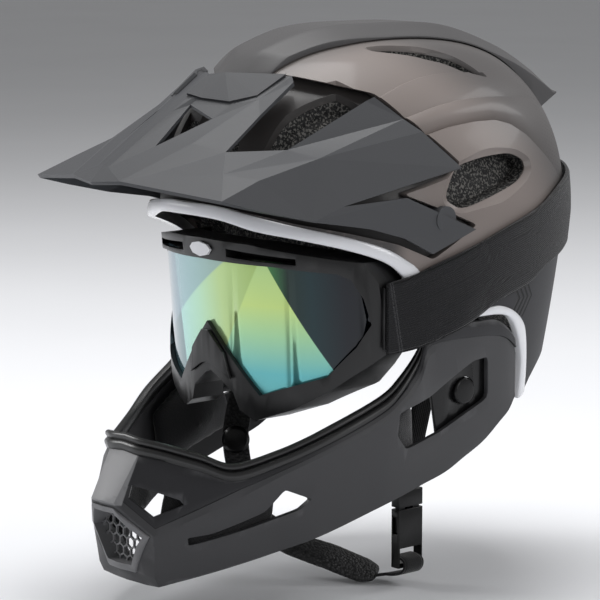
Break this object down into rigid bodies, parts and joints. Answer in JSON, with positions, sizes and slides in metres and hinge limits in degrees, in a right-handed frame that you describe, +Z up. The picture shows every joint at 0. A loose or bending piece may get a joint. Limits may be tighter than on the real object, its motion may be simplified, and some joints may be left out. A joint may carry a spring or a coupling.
{
  "type": "full face downhill helmet",
  "caption": "Full face downhill helmet with peak, removable chin guard, mirrored goggles on a wide strap, padded liner and buckled chin strap.",
  "frame": {"origin": "middle of the head cavity, on the plane of symmetry, at the level of the brow", "axes": "-Y is the way the wearer faces, +X is the wearer's left, +Z is up"},
  "size_m": [0.2266, 0.3444, 0.3344],
  "materials": {
    "shell_taupe": "matte",
    "shell_dark": "matte",
    "spine_grey": "matte",
    "peak_grey": "matte",
    "trim_white": "gloss",
    "guard_grey": "matte",
    "bezel_grey": "satin",
    "foam_black": "matte",
    "pad_black": "matte",
    "bead_rubber": "satin",
    "steel": "satin",
    "clip_black": "gloss",
    "frame_black": "satin",
    "lens_mirror": "mirror coated",
    "tab_white": "gloss",
    "strap_black": "woven",
    "web_black": "woven"
  },
  "bodies": {
    "shell": {"outer_shell": "shell_taupe", "rear_shell": "shell_dark", "rim_trim": "trim_white", "crown_spine": "spine_grey", "foam_liner": "foam_black", "foam_liner_lower": "foam_black", "brow_pad": "pad_black", "crown_pad": "pad_black", "side_pad_left": "pad_black", "side_pad_right": "pad_black", "rear_pad": "pad_black", "peak_pivot_pins": "steel", "goggle_strap": "strap_black", "chin_web_left": "web_black", "chin_web_right": "web_black", "chin_web_lower": "web_black", "chin_sleeve": "web_black", "strap_anchor_left": "steel", "strap_anchor_right": "steel", "strap_stud": "clip_black", "buckle_socket": "clip_black", "band_runner_left": "clip_black", "band_runner_right": "clip_black"},
    "peak": {"peak": "peak_grey", "peak_cover_left": "peak_grey", "peak_cover_right": "peak_grey"},
    "chin_guard": {"chin_guard": "guard_grey", "intake_bezel": "bezel_grey", "intake_net": "bezel_grey", "rim_bead": "bead_rubber", "chin_foam": "foam_black", "cheek_pad_left": "pad_black", "cheek_pad_right": "pad_black", "latch_plate_left": "clip_black", "latch_plate_right": "clip_black"},
    "latch_button_left": {"latch_button_left": "clip_black"},
    "latch_button_right": {"latch_button_right": "clip_black"},
    "goggles": {"goggle_frame": "frame_black", "goggle_lens": "lens_mirror", "goggle_face_foam": "foam_black", "goggle_vent_foam": "foam_black", "nose_guard": "frame_black", "lens_tab": "tab_white", "outrigger_left": "frame_black", "outrigger_right": "frame_black"},
    "buckle_plug": {"buckle_plug": "clip_black"},
    "buckle_prong_front": {"buckle_prong_front": "clip_black"},
    "buckle_prong_rear": {"buckle_prong_rear": "clip_black"},
    "fit_cradle": {"fit_band": "clip_black", "fit_housing": "clip_black"},
    "fit_dial": {"fit_dial": "clip_black"}
  },
  "joints": [
    {"name": "peak_tilt", "type": "hinge", "parent": "shell", "child": "peak", "pos_m": [0, -0.032, 0.008], "axis": [1, 0, 0], "range_deg": [0, 6]},
    {"name": "chin_guard_release", "type": "slide", "parent": "shell", "child": "chin_guard", "axis": [0, 0, -1], "range_m": [0, 0.06]},
    {"name": "latch_press_left", "type": "slide", "parent": "chin_guard", "child": "latch_button_left", "axis": [-1, 0, 0], "range_m": [0, 0.0025], "stiffness_N_per_m": 800},
    {"name": "latch_press_right", "type": "slide", "parent": "chin_guard", "child": "latch_button_right", "axis": [1, 0, 0], "range_m": [0, 0.0025], "stiffness_N_per_m": 800},
    {"name": "goggles_pull", "type": "slide", "parent": "shell", "child": "goggles", "axis": [0, -1, 0], "range_m": [0, 0.015], "stiffness_N_per_m": 250},
    {"name": "buckle_release", "type": "slide", "parent": "shell", "child": "buckle_plug", "axis": [0, 0, 1], "range_m": [0, 0.024], "deforming": ["chin_web_left"]},
    {"name": "prong_squeeze_front", "type": "slide", "parent": "buckle_plug", "child": "buckle_prong_front", "axis": [0, 1, 0], "range_m": [0, 0.0012], "stiffness_N_per_m": 400},
    {"name": "prong_squeeze_rear", "type": "slide", "parent": "buckle_plug", "child": "buckle_prong_rear", "axis": [0, -1, 0], "range_m": [0, 0.0012], "stiffness_N_per_m": 400},
    {"name": "fit_cradle_slide", "type": "slide", "parent": "shell", "child": "fit_cradle", "axis": [0, -1, 0], "range_m": [0, 0.00785]},
    {"name": "fit_dial_turn", "type": "hinge", "parent": "fit_cradle", "child": "fit_dial", "pos_m": [0, 0.1067, -0.0654], "axis": [0, 1, 0], "range_deg": [0, 180]}
  ],
  "couplings": [
    {"joint": "fit_dial_turn", "follows": "fit_cradle_slide", "rad_per_m": 400}
  ]
}
